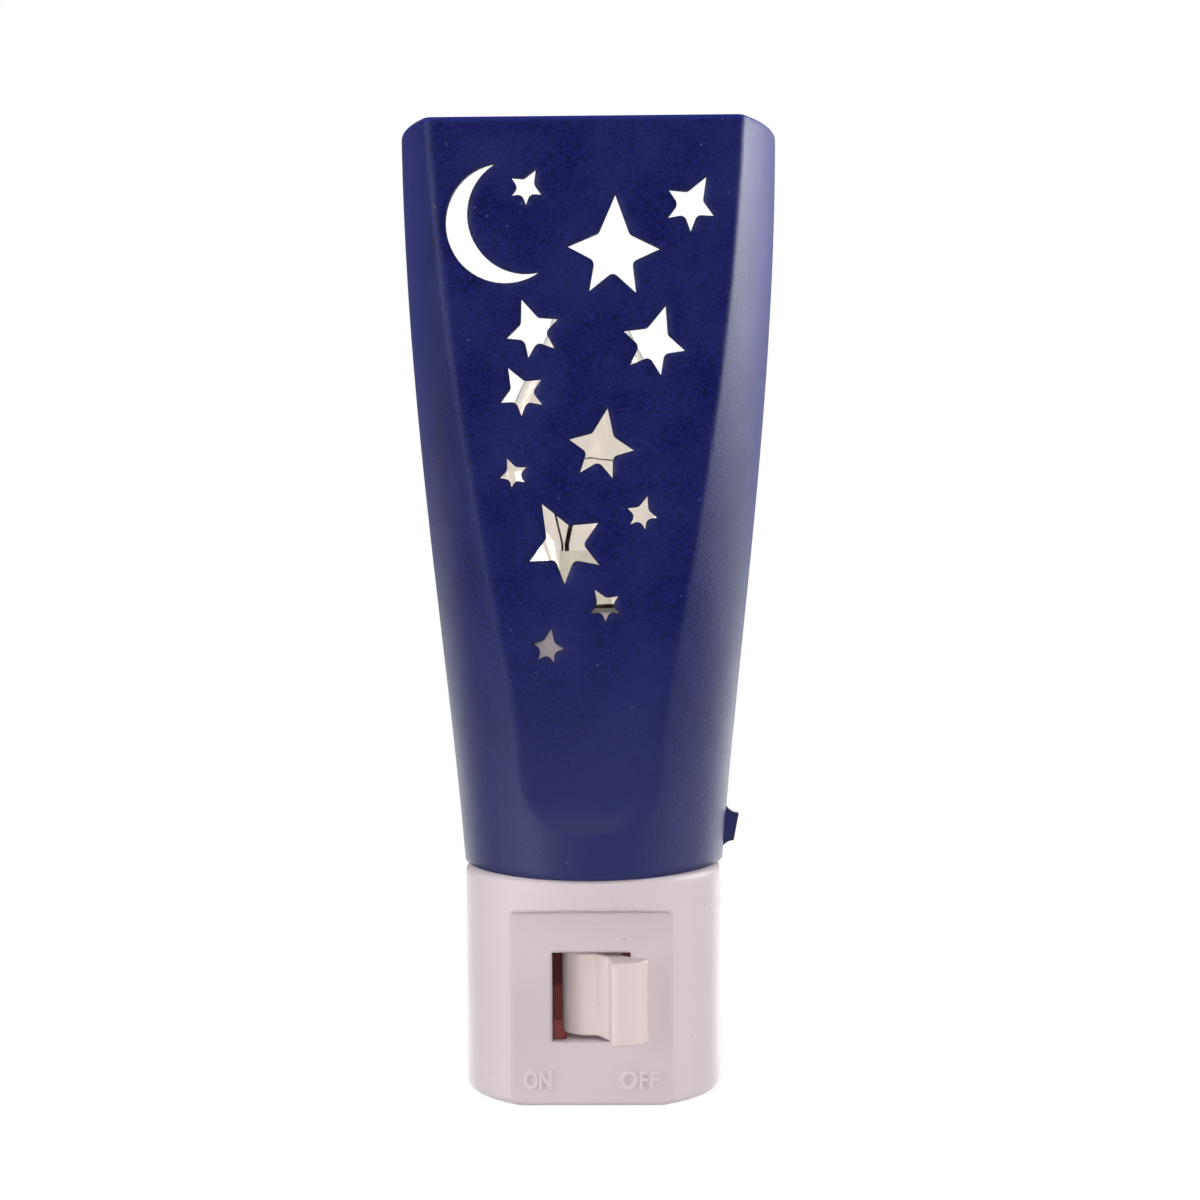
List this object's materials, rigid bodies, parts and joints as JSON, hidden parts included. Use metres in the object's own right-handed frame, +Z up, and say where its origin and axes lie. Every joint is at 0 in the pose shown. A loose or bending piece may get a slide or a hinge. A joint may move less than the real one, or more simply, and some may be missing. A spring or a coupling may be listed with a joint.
{
  "type": "night light",
  "caption": "Plug-in night light: white D-shaped base with a lever switch, clear candelabra lamp and a navy shade pierced with a crescent and stars.",
  "frame": {"origin": "on the flat back of the base that lies against the wall, midway between the plug blades", "axes": "+X to the right as seen from the room, +Y into the wall along the blades, +Z up"},
  "size_m": [0.0442, 0.0485, 0.1116],
  "materials": {
    "white_plastic": "satin moulded",
    "lever_plastic": "satin moulded",
    "navy_plastic": "fine matte texture, slightly translucent",
    "red_fibre": "pressed fibre",
    "blade_brass": "polished",
    "shell_brass": "rolled",
    "spring_bronze": "rolled strip",
    "screw_steel": "zinc plated",
    "cap_nickel": "rolled",
    "tip_solder": "dull",
    "black_glass": "glossy",
    "clear_glass": "clear",
    "stem_glass": "clear",
    "lead_wire": "drawn wire",
    "tungsten": "coiled wire"
  },
  "bodies": {
    "base": {"front_housing": "white_plastic", "back_cover": "white_plastic", "case_screws": "screw_steel", "blade_line": "blade_brass", "blade_neutral": "blade_brass", "line_contact": "spring_bronze", "lamp_contact": "spring_bronze", "neutral_strip": "spring_bronze", "socket_shell": "shell_brass", "centre_contact": "spring_bronze", "strip_rivets": "blade_brass", "fibre_plate": "red_fibre"},
    "lever": {"switch_lever": "lever_plastic", "moving_contact": "spring_bronze"},
    "bulb": {"bulb_glass": "clear_glass", "bulb_cap": "cap_nickel", "cap_insulator": "black_glass", "cap_contact": "tip_solder", "bulb_stem": "stem_glass", "lead_wires": "lead_wire", "support_wires": "lead_wire", "filament": "tungsten"},
    "shade": {"shade": "navy_plastic"}
  },
  "joints": [
    {"name": "switch_turn", "type": "hinge", "parent": "base", "child": "lever", "pos_m": [0, -0.0205, -0.0045], "axis": [0, 0, -1], "range_deg": [0, 58]},
    {"name": "lamp_lift", "type": "slide", "parent": "base", "child": "bulb", "axis": [0, 0, 1], "range_m": [0, 0.065]},
    {"name": "shade_lift", "type": "slide", "parent": "base", "child": "shade", "axis": [0, 0, 1], "range_m": [0, 0.075]}
  ]
}
